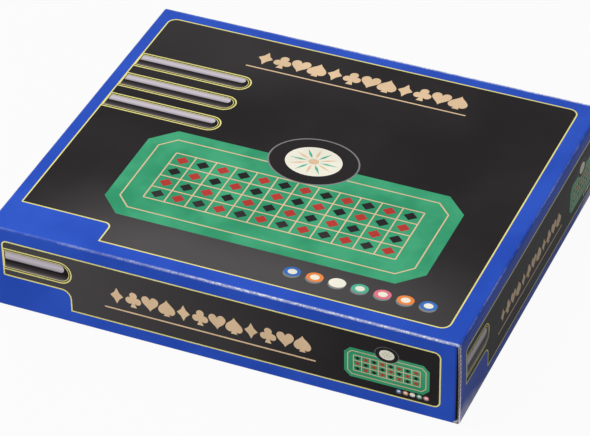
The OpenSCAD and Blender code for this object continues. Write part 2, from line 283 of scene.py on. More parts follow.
def printed_panel():
    """The dark panel print with a painted sheen: lighter near the top's front left, on the front
    wall's left and a little at the top's back left, darker towards the far right.
    """
    finish = Finish("print_black_with_painted_sheen_and_shade", **PRINT)
    x, y, z = finish.place()
    on_top = z.ramp(60, 62)
    # painted sheen: pale pools standing for the lamp's reflection on the gloss
    painted_sheen = (y.ramp(-40, -118) * x.ramp(-175, -40) * x.ramp(330, -40) * on_top
            + x.ramp(110, -120) * y.ramp(-120, -130) * (1 - on_top) * 0.75)
    far_left_sheen = y.ramp(25, 110) * x.ramp(15, -90) * on_top * 0.25
    light = (painted_sheen.larger(far_left_sheen) + finish.noise(70, 3).ramp(0.3, 0.7) * 0.10).smaller(1)
    # the print's near-black, lightened where the painted sheen lies
    return board_coat(finish, 0.36, finish.mix(light, linear(26, 23, 24), linear(76, 73, 74)))


def printed_plain(name, colour, second=None, scale=30):
    """A flat printed colour with the press's slight unevenness."""
    finish = Finish(name, **PRINT)
    second = second or lighter(colour, 1.12, 0.002)
    return board_coat(finish, 0.30,
                      finish.mix(finish.noise(scale, 3).ramp(0.3, 0.7), colour, second))


def printed_bar(name, stops):
    """The gradient of a gloss bar, from its foot to its head."""
    finish = Finish(name, **PRINT)
    y, z = finish.place()[1:]
    on_top = z.ramp(TOP - 0.6, TOP - 0.3)
    low, high = SIDE_BAR
    along_top = ((y - TOP_BAR) / BAR_STEP).of("FRACT") * BAR_STEP / BAR_HEIGHT
    up = along_top * on_top + (z - low) / (high - low) * (1 - on_top)
    return board_coat(finish, 0.28, finish.node("ShaderNodeValToRGB", {"stops": stops}, [up]))


def raw_board():
    """Cut corrugated board: two pale liners with the wave of the flute between them, the open
    hollows between them painted dark as shade.
    """
    finish = Finish("board_raw_edge", roughness=0.85)
    x, z = finish.place()[::2]
    bow = ((z - FOOT) * (math.pi / (TOP - FOOT))).sin() * BOW
    across = (abs(x) - HALF_W + BOARD / 2 - bow) / BOARD
    wave = (z * FLUTE).sin() * 0.30
    flute = abs(across - wave).ramp(0.16, 0.09)
    liner = abs(across).ramp(0.34, 0.40)
    paper = finish.mix(finish.noise(0.8, 3), linear(186, 174, 176), linear(150, 138, 140))
    face = finish.mix(across.ramp(0.18, 0.34), paper, linear(214, 208, 222))
    # painted shade: dark in the flute's open hollows, pale on the liners and the flute
    return finish.set(base_color=finish.mix(flute.larger(liner), linear(78, 68, 70), face),
                      normal=finish.bump(flute.larger(liner) + finish.noise(0.4) * 0.2, 0.25, 0.7))


def liner_board(name, pale, dark):
    """Unprinted board: short fibres, faint flute lines."""
    finish = Finish(name, roughness=0.82, sheen_weight=0.05)
    fibres = finish.noise(1.2, 4, 0.65, (0.25, 1, 1))
    cloud = finish.noise(30, 3)
    flutes = (finish.place()[0] * FLUTE).sin() * 0.5 + 0.5
    tone = finish.mix(fibres * 0.6 + cloud * 0.4, dark, pale)
    return finish.set(base_color=finish.mix(flutes * 0.10, tone, dark),
                      normal=finish.bump(fibres * 0.05 + flutes * 0.05, 0.6, 0.5))


def soft_edges(finish, radius):
    """A normal that rounds sharp edges, in millimetres."""
    return finish.node("ShaderNodeBevel", {"samples": 4}, {"Radius": radius * MM})


def formed_plastic():
    finish = Finish("formed_black_sheet", roughness=0.42, IOR=1.48)
    grain = finish.noise(0.7, 3, 0.6)
    stretch_marks = finish.noise(24, 3)
    return finish.set(base_color=finish.mix(stretch_marks, linear(30, 30, 32), linear(44, 44, 46)),
                      roughness=grain * 0.2 + 0.34,
                      normal=finish.bump(grain, 0.08, 0.5, soft_edges(finish, 0.9)))


def moulded_plastic(name, colour, roughness=0.22, edge=0.5):
    finish = Finish(name, IOR=1.49, coat_weight=0.15, coat_roughness=0.08)
    scuffs = finish.noise(3, 5, 0.7, (1, 1, 0.2)).ramp(0.55, 0.75)
    return finish.set(base_color=finish.mix(finish.noise(12, 3), colour,
                                            lighter(colour, 1.25, 0.004)),
                      roughness=scuffs * 0.15 + roughness,
                      normal=finish.bump(finish.noise(0.5, 2), 0.02, 0.4, soft_edges(finish, edge)))


def pocket_turn(finish):
    """Distance from the wheel's axis, and how many pockets lie between a point and +X."""
    x, y = finish.place()[:2]
    x = x - WHEEL.x / MM
    return (x * x + y * y).of("SQRT"), (y.of("ARCTAN2", x) / math.tau + 1) * POCKETS


def pocket_colours(finish, turn, black, red, green):
    """Red and black by turns, with one green."""
    cell = turn.of("FLOOR").of("MODULO", POCKETS)
    two = finish.mix(cell.of("MODULO", 2), black, red)
    return finish.mix(cell.of("COMPARE", 0, 0.4), two, green)


def rotor_plastic():
    """Black rotor with coloured pocket floors."""
    finish = Finish("rotor_black_red", IOR=1.49, coat_weight=0.2, coat_roughness=0.08)
    reach, turn = pocket_turn(finish)
    black = linear(24, 22, 24)
    floors = pocket_colours(finish, turn, black, linear(150, 22, 26), linear(16, 110, 60))
    in_pocket = (reach.ramp(POCKET_INNER - 0.1, POCKET_INNER + 0.1)
                 * reach.ramp(POCKET_OUTER + 0.1, POCKET_OUTER - 0.1))
    return finish.set(base_color=finish.mix(in_pocket, black, floors),
                      roughness=finish.noise(3, 4).ramp(0.5, 0.8) * 0.12 + 0.2,
                      normal=finish.bump(finish.noise(0.6, 2), 0.02, 0.4,
                                         soft_edges(finish, 0.4)))


def ring_card():
    """Printed number ring: coloured cells with thin gold lines between."""
    finish = Finish("number_ring_print", coat_weight=0.3, coat_roughness=0.1)
    turn = pocket_turn(finish)[1]
    cells = pocket_colours(finish, turn, linear(20, 18, 20), linear(168, 24, 28),
                           linear(16, 120, 64))
    line = abs(turn.of("FRACT") - 0.5).ramp(0.455, 0.475)
    return finish.set(base_color=finish.mix(line, cells, linear(214, 178, 110)),
                      roughness=finish.noise(4, 3) * 0.2 + 0.25,
                      normal=finish.bump(finish.noise(1, 2), 0.02, 0.3))


def metal(name, colour, roughness, brushed=False):
    finish = Finish(name, metallic=1.0)
    streaks = finish.noise(0.4, 3, 0.6, (1, 1, 0.05) if brushed else (1, 1, 1))
    return finish.set(base_color=finish.mix(finish.noise(6, 3), colour, lighter(colour, 0.82, 0)),
                      roughness=streaks * 0.16 + roughness,
                      normal=finish.bump(streaks, 0.02, 0.4, soft_edges(finish, 0.3)))


def turned_wood():
    finish = Finish("varnished_stick", roughness=0.35, coat_weight=0.3, coat_roughness=0.15)
    grain = finish.noise(1.1, 5, 0.65, (1, 0.06, 1))
    return finish.set(base_color=finish.mix(grain.ramp(0.3, 0.75), linear(196, 148, 92),
                                            linear(136, 88, 46)),
                      normal=finish.bump(grain, 0.05, 0.5))


def felt_cloth():
    """Green felt with the betting grid printed in gold, read from the flat sheet's map."""
    finish = Finish("green_felt", roughness=0.95, sheen_weight=0.5, sheen_roughness=0.5)
    sheet_map = finish.node("ShaderNodeUVMap", {"uv_map": "flat"})
    u, v = finish.node("ShaderNodeSeparateXYZ", None, [sheet_map]).all()[:2]
    fibres = finish.noise(0.5, 4, 0.75)
    tufts = finish.noise(3.5, 3, 0.6)
    column = abs(((u - 0.20) * 20).of("FRACT") - 0.5).ramp(0.475, 0.488)
    row = abs(((v - 0.25) * 6).of("FRACT") - 0.5).ramp(0.475, 0.488)
    inside = (u.ramp(0.197, 0.199) * u.ramp(0.803, 0.801) * v.ramp(0.246, 0.248)
              * v.ramp(0.754, 0.752))
    green = finish.mix(fibres * 0.6 + tufts * 0.4, linear(14, 84, 46), linear(34, 122, 74))
    return finish.set(base_color=finish.mix(column.larger(row) * inside * 0.85, green,
                                            linear(222, 190, 96)),
                      normal=finish.bump(fibres + tufts * 0.6, 0.25, 0.7))


def leaflet_paper():
    """Folded paper with plain grey blocks where its rules stand."""
    finish = Finish("leaflet_paper", roughness=0.75)
    x, y = finish.place()[:2]
    lines = ((y / 4).of("FRACT") - 0.5).ramp(0.12, 0.16)
    columns = abs((x / 66 + 0.5).of("FRACT") - 0.5).ramp(0.44, 0.42)
    margin = abs(y).ramp(64, 62) * abs(x).ramp(97, 95)
    words = finish.noise(2.2, 2, 0.5, (0.5, 0.1, 1)).ramp(0.40, 0.46)
    paper = finish.mix(finish.noise(2, 3), linear(236, 232, 222), linear(222, 217, 206))
    return finish.set(base_color=finish.mix(lines * columns * margin * words * 0.55, paper,
                                            linear(60, 60, 66)),
                      normal=finish.bump(finish.noise(0.6, 3), 0.03, 0.4))


def chip_plastic(name, colour):
    finish = Finish(name, roughness=0.38, IOR=1.48, coat_weight=0.1, coat_roughness=0.2)
    dust = finish.noise(2.5, 4, 0.7)
    return finish.set(base_color=finish.mix(dust, colour, lighter(colour, 1.18, 0.01)),
                      roughness=dust * 0.18 + 0.3,
                      normal=finish.bump(finish.noise(0.4, 2), 0.03, 0.5))


# ------------------------------------------------------------- print shapes

def rounded_outline(points, radii=None, inset=0.0):
    """Corners of a counter-clockwise outline, moved inwards by inset and rounded. Without
    radii they stay sharp."""
    count, steps = len(points), 5
    radii = radii or [0] * count
    out = []
    for i in range(count):
        before, here, after = (Vector(points[(i + k) % count]) for k in (-1, 0, 1))
        a, b = (here - before).normalized(), (after - here).normalized()
        na, nb = Vector((-a.y, a.x)), Vector((-b.y, b.x))
        n = (na + nb).normalized()
        here = here + n * inset / n.dot(na)
        convex = a.x * b.y - a.y * b.x > 0
        r = 0 if radii[i] == 0 else radii[i] - inset if convex else radii[i] + inset
        angle = math.acos(max(-1, min(1, a.dot(b))))
        if r <= 0.05 or angle < 0.05:
            out.append(tuple(here))
            continue
        start = here - a * r * math.tan(angle / 2)
        centre = start + Vector((-a.y, a.x)) * (r if convex else -r)
        first = math.atan2(*(start - centre).yx)
        sweep = angle if convex else -angle
        out += [(centre.x + r * math.cos(first + sweep * k / steps),
                 centre.y + r * math.sin(first + sweep * k / steps)) for k in range(steps + 1)]
    return out


def oval(cx, cy, rx, ry=None, steps=40):
    turns = (math.tau * k / steps for k in range(steps))
    return [(cx + rx * math.cos(t), cy + (ry or rx) * math.sin(t)) for t in turns]


def slab(x0, y0, x1, y1):
    return [(x0, y0), (x1, y0), (x1, y1), (x0, y1)]


def suit(kind, cx, cy, size):
    """Outlines of one card-suit mark, as parts of one colour."""
    s = size / 2

    def at(*points):
        return [(cx + x * s, cy + y * s) for x, y in points]

    stem = at((-0.34, -1), (0.34, -1), (0.08, -0.2), (-0.08, -0.2))
    if kind == "diamond":
        return [at((0, -1), (0.28, -0.42), (0.72, 0), (0.28, 0.42), (0, 1), (-0.28, 0.42),
                   (-0.72, 0), (-0.28, -0.42))]
    if kind == "club":
        return [oval(cx + x * s, cy + y * s, 0.42 * s, steps=20)
                for x, y in ((0, 0.5), (-0.45, -0.15), (0.45, -0.15))] + [
                    at((-0.2, -0.3), (0.2, -0.3), (0.12, 0.4), (-0.12, 0.4)), stem]
    heart = at(*((16 / 17 * math.sin(t) ** 3,
                  (13 * math.cos(t) - 5 * math.cos(2 * t) - 2 * math.cos(3 * t)
                   - math.cos(4 * t)) / 15.5 + 0.12)
                 for t in (math.tau * (k + 0.5) / 32 for k in range(32))))
    if kind == "heart":
        return [heart[::-1]]
    return [[(x, 2 * cy - y + 0.12 * s) for x, y in heart], stem]


(BLUE, BLACK, LINE, BAR, GOLD, FELT, RED, CREAM, RAW, LINER, DISC_BLUE, DISC_ORANGE, DISC_GREEN,
 DISC_PINK, GREY, BAND) = range(16)
SUITS = ("diamond", "club", "heart", "spade")


class Print(list):
    """Layers of a print, from the ground up: outlines with their colours."""

    def add(self, colour, *outlines):
        self.extend((outline, colour) for outline in outlines)

    def panel(self, points, radii, width):
        """The dark panel inside its keyline."""
        self.add(LINE, rounded_outline(points, radii))
        self.add(BLACK, rounded_outline(points, radii, width))

    def title_row(self, x0, x1, foot, size, rule):
        """A row of twelve suit marks with a thin rule under it."""
        pitch = (x1 - x0) / 12
        for i in range(12):
            self.add(GOLD, *suit(SUITS[i % 4], x0 + pitch * (i + 0.5), foot + size / 2, size))
        self.add(GOLD, slab(x0 - 3, foot - rule - 0.55, x1 + 3, foot - rule + 0.55))

    def gloss_bar(self, x0, low, x1, high, line):
        """A bar that starts at the keyline: two lines round a dark field, a silver band."""
        r = (high - low) / 2 - 0.01
        for inset, colour in ((0, LINE), (line, BLACK), (line * 2, LINE), (line * 2.5, BAR)):
            start = x0 + 0.6 - inset if colour == BAR else x0 - 5
            outline = rounded_outline(slab(start, low, x1, high), [0, r, r, 0], inset)
            self.add(colour, [(max(u, x0), v) for u, v in outline])
        middle, top = (low + high) / 2 + 0.2, high - line * 2.5 - 0.3
        self.add(BAND, rounded_outline(slab(x0 + 1.2, middle, x1 - r * 0.62, top),
                                       [0, (top - middle) * 0.45, (top - middle) * 0.5, 0]))

    def rosette(self, cx, cy, r, squeeze):
        """A wheel-like disc: black rim, pale centre, star of narrow petals."""
        self.add(GREY, oval(cx, cy, r, r * squeeze))
        self.add(BLACK, oval(cx, cy, r * 0.965, r * 0.96 * squeeze))
        self.add(CREAM, oval(cx, cy, r * 0.62, r * 0.62 * squeeze))
        for k in range(12):
            petal = [(q * r, math.pi * k / 6 + d)
                     for q, d in ((0.30, -0.11), (0.56, 0), (0.30, 0.11), (0.14, 0))]
            self.add(GOLD if k % 2 else DISC_GREEN,
                     [(cx + q * math.cos(a), cy + q * squeeze * math.sin(a)) for q, a in petal])
        self.add(GOLD, oval(cx, cy, r * 0.12, r * 0.12 * squeeze, 20))

    def felt_panel(self, x0, y0, x1, y1, columns, rows, line, cut=4):
        """A green table with a gold frame and a grid of red and black lozenges."""
        outline = [(x0 + cut, y0), (x1 - cut, y0), (x1, y0 + cut), (x1, y1 - cut),
                   (x1 - cut, y1), (x0 + cut, y1), (x0, y1 - cut), (x0, y0 + cut)]
        frame = 0.09 * (y1 - y0)
        self.add(FELT, outline)
        self.add(GOLD, rounded_outline(outline, None, frame))
        self.add(FELT, rounded_outline(outline, None, frame + line))
        left, right = x0 + cut + frame, x1 - cut - frame
        foot, head = y0 + 2.6 * frame, y1 - 2.6 * frame
        dx, dy, half = (right - left) / columns, (head - foot) / rows, line / 2
        for i in range(columns + 1):
            self.add(GOLD, slab(left + i * dx - half, foot, left + i * dx + half, head))
        for j in range(rows + 1):
            self.add(GOLD, slab(left, foot + j * dy - half, right, foot + j * dy + half))
        for i in range(columns):
            for j in range(rows):
                cx, cy = left + (i + 0.5) * dx, foot + (j + 0.5) * dy
                self.add(RED if (i + j) % 2 else BLACK,
                         oval(cx, cy, -0.33 * dx, -0.33 * dy, 4))

    def discs(self, x, step, y, radius, colours):
        """A row of chips, each with its shaded edge and a pale middle."""
        for i, colour in enumerate(colours):
            for up, size, tone, steps in ((-0.16, 1, GREY, 24), (0.16, 1, colour, 24),
                                          (0.16, 0.55, CREAM, 20)):
                self.add(tone, oval(x + step * i, y + up * radius, radius * size,
                                    radius * size * 0.8, steps))


DISCS = (DISC_BLUE, DISC_ORANGE, CREAM, DISC_GREEN, DISC_PINK, DISC_ORANGE, DISC_BLUE)


def top_print(width):
    """The print of the lid's top, in x and y."""
    layers = Print()
    left, front, right, back = -150.3, -121.9, 147.3, 124.2
    step_x, step_y = -87, -103.3
    layers.panel([(left, step_y), (step_x, step_y), (step_x, front), (right, front),
                  (right, back), (left, back)], [0.9, 4, 0, 6.5, 6.5, 6.5], width)
    for low in (TOP_BAR + 2 * BAR_STEP, TOP_BAR + BAR_STEP, TOP_BAR):
        layers.gloss_bar(left + width, low, -66.3, low + BAR_HEIGHT, width)
    layers.title_row(-76, 76, 95.5, 14.5, 4.8)
    layers.felt_panel(-104, -92, 116, 4, 12, 4, 0.9, cut=15)
    layers.rosette(6, 6, 31, 0.8)
    layers.discs(38, 15, -105.5, 5.6, DISCS)
    return layers


def side_print(width, span):
    """The print of a wall of the case, for half its length span; u runs left to right."""
    layers = Print()
    k = span / HALF_W
    left, low, right, high = -span + 9.1, 9.6, span - 12.1, 53.2
    step_x, step_z = left + 47 * k, 25.4
    layers.panel([(left, step_z), (step_x, step_z), (step_x, low), (right, low),
                  (right, high), (left, high)], [0.9, 6, 0, 4.5, 4.5, 3.5], width)
    layers.gloss_bar(left + width, SIDE_BAR[0], left + 49 * k, SIDE_BAR[1], width * 0.9)
    layers.title_row(-76 * k, 62 * k, 26.0, 12.5 * k, 4.6)
    layers.felt_panel(84 * k, 17, 140 * k, 40, 8, 3, 0.5)
    layers.rosette(112 * k, 41, 8, 0.75)
    layers.discs(120 * k, 4.5 * k, 14.6, 1.8, DISCS[:5])
    return layers


def paint(bm, faces, layers, flat, solid):
    """Cuts flat faces of one plane along the outlines of their print and colours the parts.
    flat turns a point into the print's two values; solid puts such a pair back on the plane."""
    base, normal = faces[0].material_index, faces[0].normal.copy()
    pieces = bmesh.ops.triangulate(bm, faces=faces)["faces"]
    shapes = []
    for face in pieces:
        a, b, c = (flat(v.co) for v in face.verts)
        turn = (b[0] - a[0]) * (c[1] - a[1]) - (b[1] - a[1]) * (c[0] - a[0])
        if abs(turn) > 1e-7:
            shapes.append([a, b, c] if turn > 0 else [a, c, b])
    colours = [base] * len(shapes)
    held = len(shapes)
    us, vs = zip(*(p for shape in shapes for p in shape))
    for points, colour in layers:
        pu, pv = zip(*points)
        if min(us) < max(pu) and min(pu) < max(us) and min(vs) < max(pv) and min(pv) < max(vs):
            shapes.append(points)
            colours.append(colour)
    points, corners = [], []
    for shape in shapes:
        corners.append(list(range(len(points), len(points) + len(shape))))
        points += [Vector(p) for p in shape]
    found = geometry.delaunay_2d_cdt(points, [], corners, 1, 1e-4, True)
    # the order of what is found changes from run to run, so it is sorted
    order = sorted(range(len(found[0])), key=lambda i: tuple(found[0][i]))
    rank = {i: k for k, i in enumerate(order)}
    verts = [bm.verts.new(solid(*found[0][i])) for i in order]
    parts = []
    for corners, owners in zip(found[2], found[5]):
        if min(owners, default=held) < held:
            ring = [rank[i] for i in corners]
            start = ring.index(min(ring))
            parts.append((ring[start:] + ring[:start], colours[max(owners)]))
    for ring, colour in sorted(parts):
        made = bm.faces.new([verts[i] for i in ring])
        made.normal_update()
        if made.normal.dot(normal) < 0:
            made.normal_flip()
        made.material_index = colour
    bmesh.ops.delete(bm, geom=pieces, context="FACES_KEEP_BOUNDARY")


# ------------------------------------------------------------------- pieces

def new_object(name, data):
    """A new object in the scene."""
    thing = bpy.data.objects.new(name, data)
    bpy.context.scene.collection.objects.link(thing)
    return thing


def take(bm, name):
    """Ends a bmesh as a mesh."""
    mesh = bpy.data.meshes.new(name)
    bm.to_mesh(mesh)
    bm.free()
    return mesh


def evaluated(thing):
    """What an object's curve or modifiers come to, as a mesh. The object goes."""
    bpy.context.view_layer.update()
    mesh = bpy.data.meshes.new_from_object(
        thing.evaluated_get(bpy.context.evaluated_depsgraph_get()))
    bpy.data.objects.remove(thing)
    return mesh


def piece(name, mesh, body, replaces=(), materials=()):
    """Puts a finished mesh into the scene, riding on its body."""
    thing = new_object(name, mesh)
    for material in materials:
        mesh.materials.append(material)
    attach(thing, body)
    if replaces:
        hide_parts(*replaces)
    return thing


def sheet_piece(name, bm, node, material, thickness):
    """A folded sheet on the tray's floor, thickened to both sides."""
    thing = piece(name, take(bm, name), "tray_body", [node], [material])
    body = thing.modifiers.new("Thickness", "SOLIDIFY")
    body.thickness, body.offset = thickness, 0
    return thing


def clean_copy(node):
    """A CAD node's mesh in millimetres, its loose triangles joined and its flat faces whole."""
    bm = bmesh.new()
    bm.from_mesh(NODES[node].data)
    bmesh.ops.scale(bm, vec=(1 / MM,) * 3, verts=bm.verts)
    bmesh.ops.remove_doubles(bm, verts=bm.verts, dist=0.002)
    bmesh.ops.dissolve_limit(bm, angle_limit=math.radians(0.6), verts=bm.verts, edges=bm.edges)
    bm.normal_update()
    return bm


def close_seams(bm, reach):
    """Joins faces cut apart along one line: an edge is split where a corner lies on it."""
    open_edges = [e for e in bm.edges if len(e.link_faces) == 1]
    corners = {v for e in open_edges for v in e.verts}
    for edge in open_edges:
        start, end = (v.co.copy() for v in edge.verts)
        on_it = []
        for corner in corners - set(edge.verts):
            near, share = geometry.intersect_point_line(corner.co, start, end)
            if 0.0001 < share < 0.9999 and (near - corner.co).length < reach:
                on_it.append(share)
        done, first = 0.0, edge.verts[0]
        for share in sorted(on_it):
            edge, first = bmesh.utils.edge_split(edge, first, (share - done) / (1 - done))
            done = share
            edge = next(e for e in first.link_edges
                        if (e.other_vert(first).co - end).length < 1e-6)
    bmesh.ops.remove_doubles(bm, verts=bm.verts, dist=reach)


def to_mesh(bm, name, smooth=30, merge=0.0015):
    """Ends a mesh built in millimetres: metres, clean, smooth where its faces meet gently."""
    bmesh.ops.remove_doubles(bm, verts=bm.verts, dist=merge)
    close_seams(bm, merge)
    bmesh.ops.delete(bm, geom=[e for e in bm.edges if not e.link_faces], context="EDGES")
    bmesh.ops.delete(bm, geom=[v for v in bm.verts if not v.link_faces], context="VERTS")
    bmesh.ops.scale(bm, vec=(MM,) * 3, verts=bm.verts)
    for face in bm.faces:
        face.smooth = True
    for edge in bm.edges:
        edge.smooth = len(edge.link_faces) == 2 and edge.calc_face_angle(0) < math.radians(smooth)
    return take(bm, name)


def round_folds(bm, half_d, fold_z, radius):
    """Rounds the long folds at one height."""
    long_folds = [e for e in bm.edges
                  if all(abs(abs(v.co.y) - half_d) < 0.01 and abs(v.co.z - fold_z) < 0.01
                         for v in e.verts) and len(e.link_faces) == 2]
    bmesh.ops.bevel(bm, geom=long_folds, offset=radius, segments=4, profile=0.5,
                    affect="EDGES", clamp_overlap=True)
    bm.normal_update()


# --------------------------------------------------------------- settings

def setting(name, description, default, **limits):
    return bpy.props.FloatProperty(name=name, description=description, default=default, **limits)


class CaseSettings(bpy.types.PropertyGroup):
    crease: setting("Crease radius", "Rounding of the lid's long folds, in millimetres", 1.1,
                   min=0.3, max=2.0)
    keyline: setting("Keyline", "Width of the printed keyline, in millimetres", 0.95,
                    min=0.5, max=3.0)


class WheelSettings(bpy.types.PropertyGroup):
    numeral: setting("Numeral height", "Height of the wheel's numbers, in millimetres", 5.6,
                    min=3.0, max=8.0)


class ClothSettings(bpy.types.PropertyGroup):
    length: setting("Flat length", "Length of the cloth laid flat", 0.560, unit="LENGTH")
    width: setting("Flat width", "Width of the cloth laid flat", 0.280, unit="LENGTH")
    layer: setting("Layer", "Height that one layer takes in the folded stack",
                  (CLOTH_HIGH.z - CLOTH_LOW.z) / 4, unit="LENGTH")


class StageSettings(bpy.types.PropertyGroup):
    lens: setting("Lens", "Focal length on a 36 mm wide sensor", 188.15, unit="CAMERA")
    key: setting("Key light", "Power of the large light over the case", 46.0, unit="POWER")
    sky: setting("Sky", "Strength of the plain light from all round", 0.36)


# -------------------------------------------------------------- operators

BAR_STOPS = [(0.08, linear(128, 118, 120)), (0.26, linear(58, 52, 54)),
             (0.45, linear(20, 15, 18)), (0.9, linear(30, 25, 27))]
BAND_STOPS = [(0.50, linear(150, 142, 150)), (0.68, linear(198, 190, 198)),
              (0.88, linear(176, 168, 176))]


class CASE_OT_lid(bpy.types.Operator):
    """Printed lid: folded board with creases pale from rubbing and a painted highlight, raw edges
    and its generic print
    """
    bl_idname = "case.lid"
    bl_label = "Lid"

    def execute(self, context):
        settings = context.scene.case_settings
        bm = clean_copy("lid")
        round_folds(bm, HALF_D, TOP, settings.crease)
        for face in bm.faces:
            face.material_index = self.board_side(face)
        self.print_on(bm, settings.keyline)
        self.open_foot(bm)
        piece("lid_board", to_mesh(bm, "lid_board", merge=0.008), "lid_body",
              ["lid"], self.colours())
        return {"FINISHED"}

    def board_side(self, face):
        """The printed side of the board, its plain liner, or, on the tucked flaps' outer faces in
        the corner gap, the dark print as painted shade.
        """
        at, n = face.calc_center_median(), face.normal
        inner_x = HALF_W - PLIES
        turned = (HALF_W - 4 < abs(at.x) < HALF_W - 1.7 and n.x * at.x > 0
                  and abs(at.y) > FLAPS and at.z > 2)
        # painted shade: the flaps' outer faces in the corner gap take the dark print, standing for
        # the gap's shadow
        if turned:
            return BLUE if abs(n.y) > 0.8 else BLACK
        outward = (at.z > TOP - 2 and n.z > 0.3
                   or abs(at.y) > HALF_D - 0.9 and n.y * at.y > 0 and abs(n.y) > 0.3
                   or abs(at.x) > HALF_W - 0.9 and n.x * at.x > 0 and abs(n.x) > 0.3)
        rolled = (abs(at.x) > inner_x - 0.3 and at.z < 3.2 and n.z < -0.05
                  or abs(abs(at.x) - inner_x) < 0.5 and n.x * at.x < 0)
        return BLUE if outward or rolled else LINER

    def print_on(self, bm, keyline):
        """Cuts the print into the top, the walls and the bands of the bowed ends."""
        cut, reach, head = HALF_W - 3.4, HALF_W + 2, TOP - BOARD
        front, end = side_print(keyline, HALF_W), side_print(keyline, HALF_D)
        front.add(RAW, slab(-reach, 0.5, -cut, head), slab(cut, 0.5, reach, head))

        def flat_faces(axis, side, reach):
            return [f for f in bm.faces if f.material_index in (BLUE, LINER)
                    and f.normal[axis] * side > 0.99
                    and abs(f.calc_center_median()[axis] - side * reach) < 0.02]

        paint(bm, flat_faces(2, 1, TOP), top_print(keyline), lambda p: (p.x, p.y),
              lambda u, v: Vector((u, v, TOP)))
        for s in (-1, 1):
            paint(bm, flat_faces(1, -s, HALF_D), front, lambda p: (s * p.x, p.z),
                  lambda u, v: Vector((s * u, -s * HALF_D, v)))
            for face in [f for f in bm.faces if f.normal.x * s > 0.9 and f.calc_area() > 60
                         and f.calc_center_median().x * s > HALF_W - 0.9]:
                b, n = face.verts[0].co.copy(), face.normal.copy()
                paint(bm, [face], end, lambda p: (s * p.y, p.z), lambda u, v: Vector(
                    (b.x - (n.y * (s * u - b.y) + n.z * (v - b.z)) / n.x, s * u, v)))

    def open_foot(self, bm):
        """Lets the right end's foot stand out like its middle, most at the front corner."""
        for v in bm.verts:
            if v.co.x > HALF_W - BOARD - 0.3 and v.co.z < (TOP + FOOT) / 2:
                bowed = math.sin(math.pi * max(v.co.z - FOOT, 0) / (TOP - FOOT))
                nearness = (HALF_D - v.co.y) / (2 * HALF_D)
                v.co.x += BOW * (1 - bowed) * (0.35 + 0.65 * nearness)

    def colours(self):
        """The print's finishes, in the order of their numbers."""
        return [printed_blue(), printed_panel(),
                printed_plain("print_keyline", linear(222, 214, 132)),
                printed_bar("print_gloss_bar", BAR_STOPS),
                printed_plain("print_tan_gold", linear(214, 184, 148)),
                printed_plain("print_green", linear(44, 142, 100), linear(64, 162, 118), 26),
                printed_plain("print_red", linear(170, 52, 46)),
                printed_plain("print_cream", linear(226, 222, 206)),
                raw_board(),
                liner_board("board_liner", linear(214, 210, 202), linear(196, 190, 180)),
                printed_plain("print_disc_blue", linear(54, 106, 178)),
                printed_plain("print_disc_orange", linear(222, 128, 62)),
                printed_plain("print_disc_green", linear(76, 170, 140)),
                printed_plain("print_disc_pink", linear(214, 112, 128)),
                printed_plain("print_grey", linear(120, 122, 124)),
                printed_bar("print_gloss_band", BAND_STOPS)]


class CASE_OT_tray(bpy.types.Operator):
    """White-lined tray: the folded board of the lower half"""
    bl_idname = "case.tray"
    bl_label = "Tray"

    def execute(self, context):
        bm = clean_copy("tray")
        high = TRAY_HIGH / MM
        round_folds(bm, high.y, TRAY_LOW.z / MM, TRAY_FOLD)
        for face in bm.faces:
            at, n = face.calc_center_median(), face.normal
            cut = (abs(n.y) > 0.9 and abs(at.x) > high.x - BOARD - 0.2
                   or n.z > 0.9 and abs(at.y) > high.y - BOARD and at.z > 20)
            face.material_index = int(cut)
        piece("tray_board", to_mesh(bm, "tray_board"), "tray_body", ["tray"],
              [liner_board("tray_white_board", linear(222, 219, 212), linear(204, 199, 190)),
               liner_board("tray_cut_edge", linear(190, 170, 140), linear(150, 126, 96))])
        return {"FINISHED"}


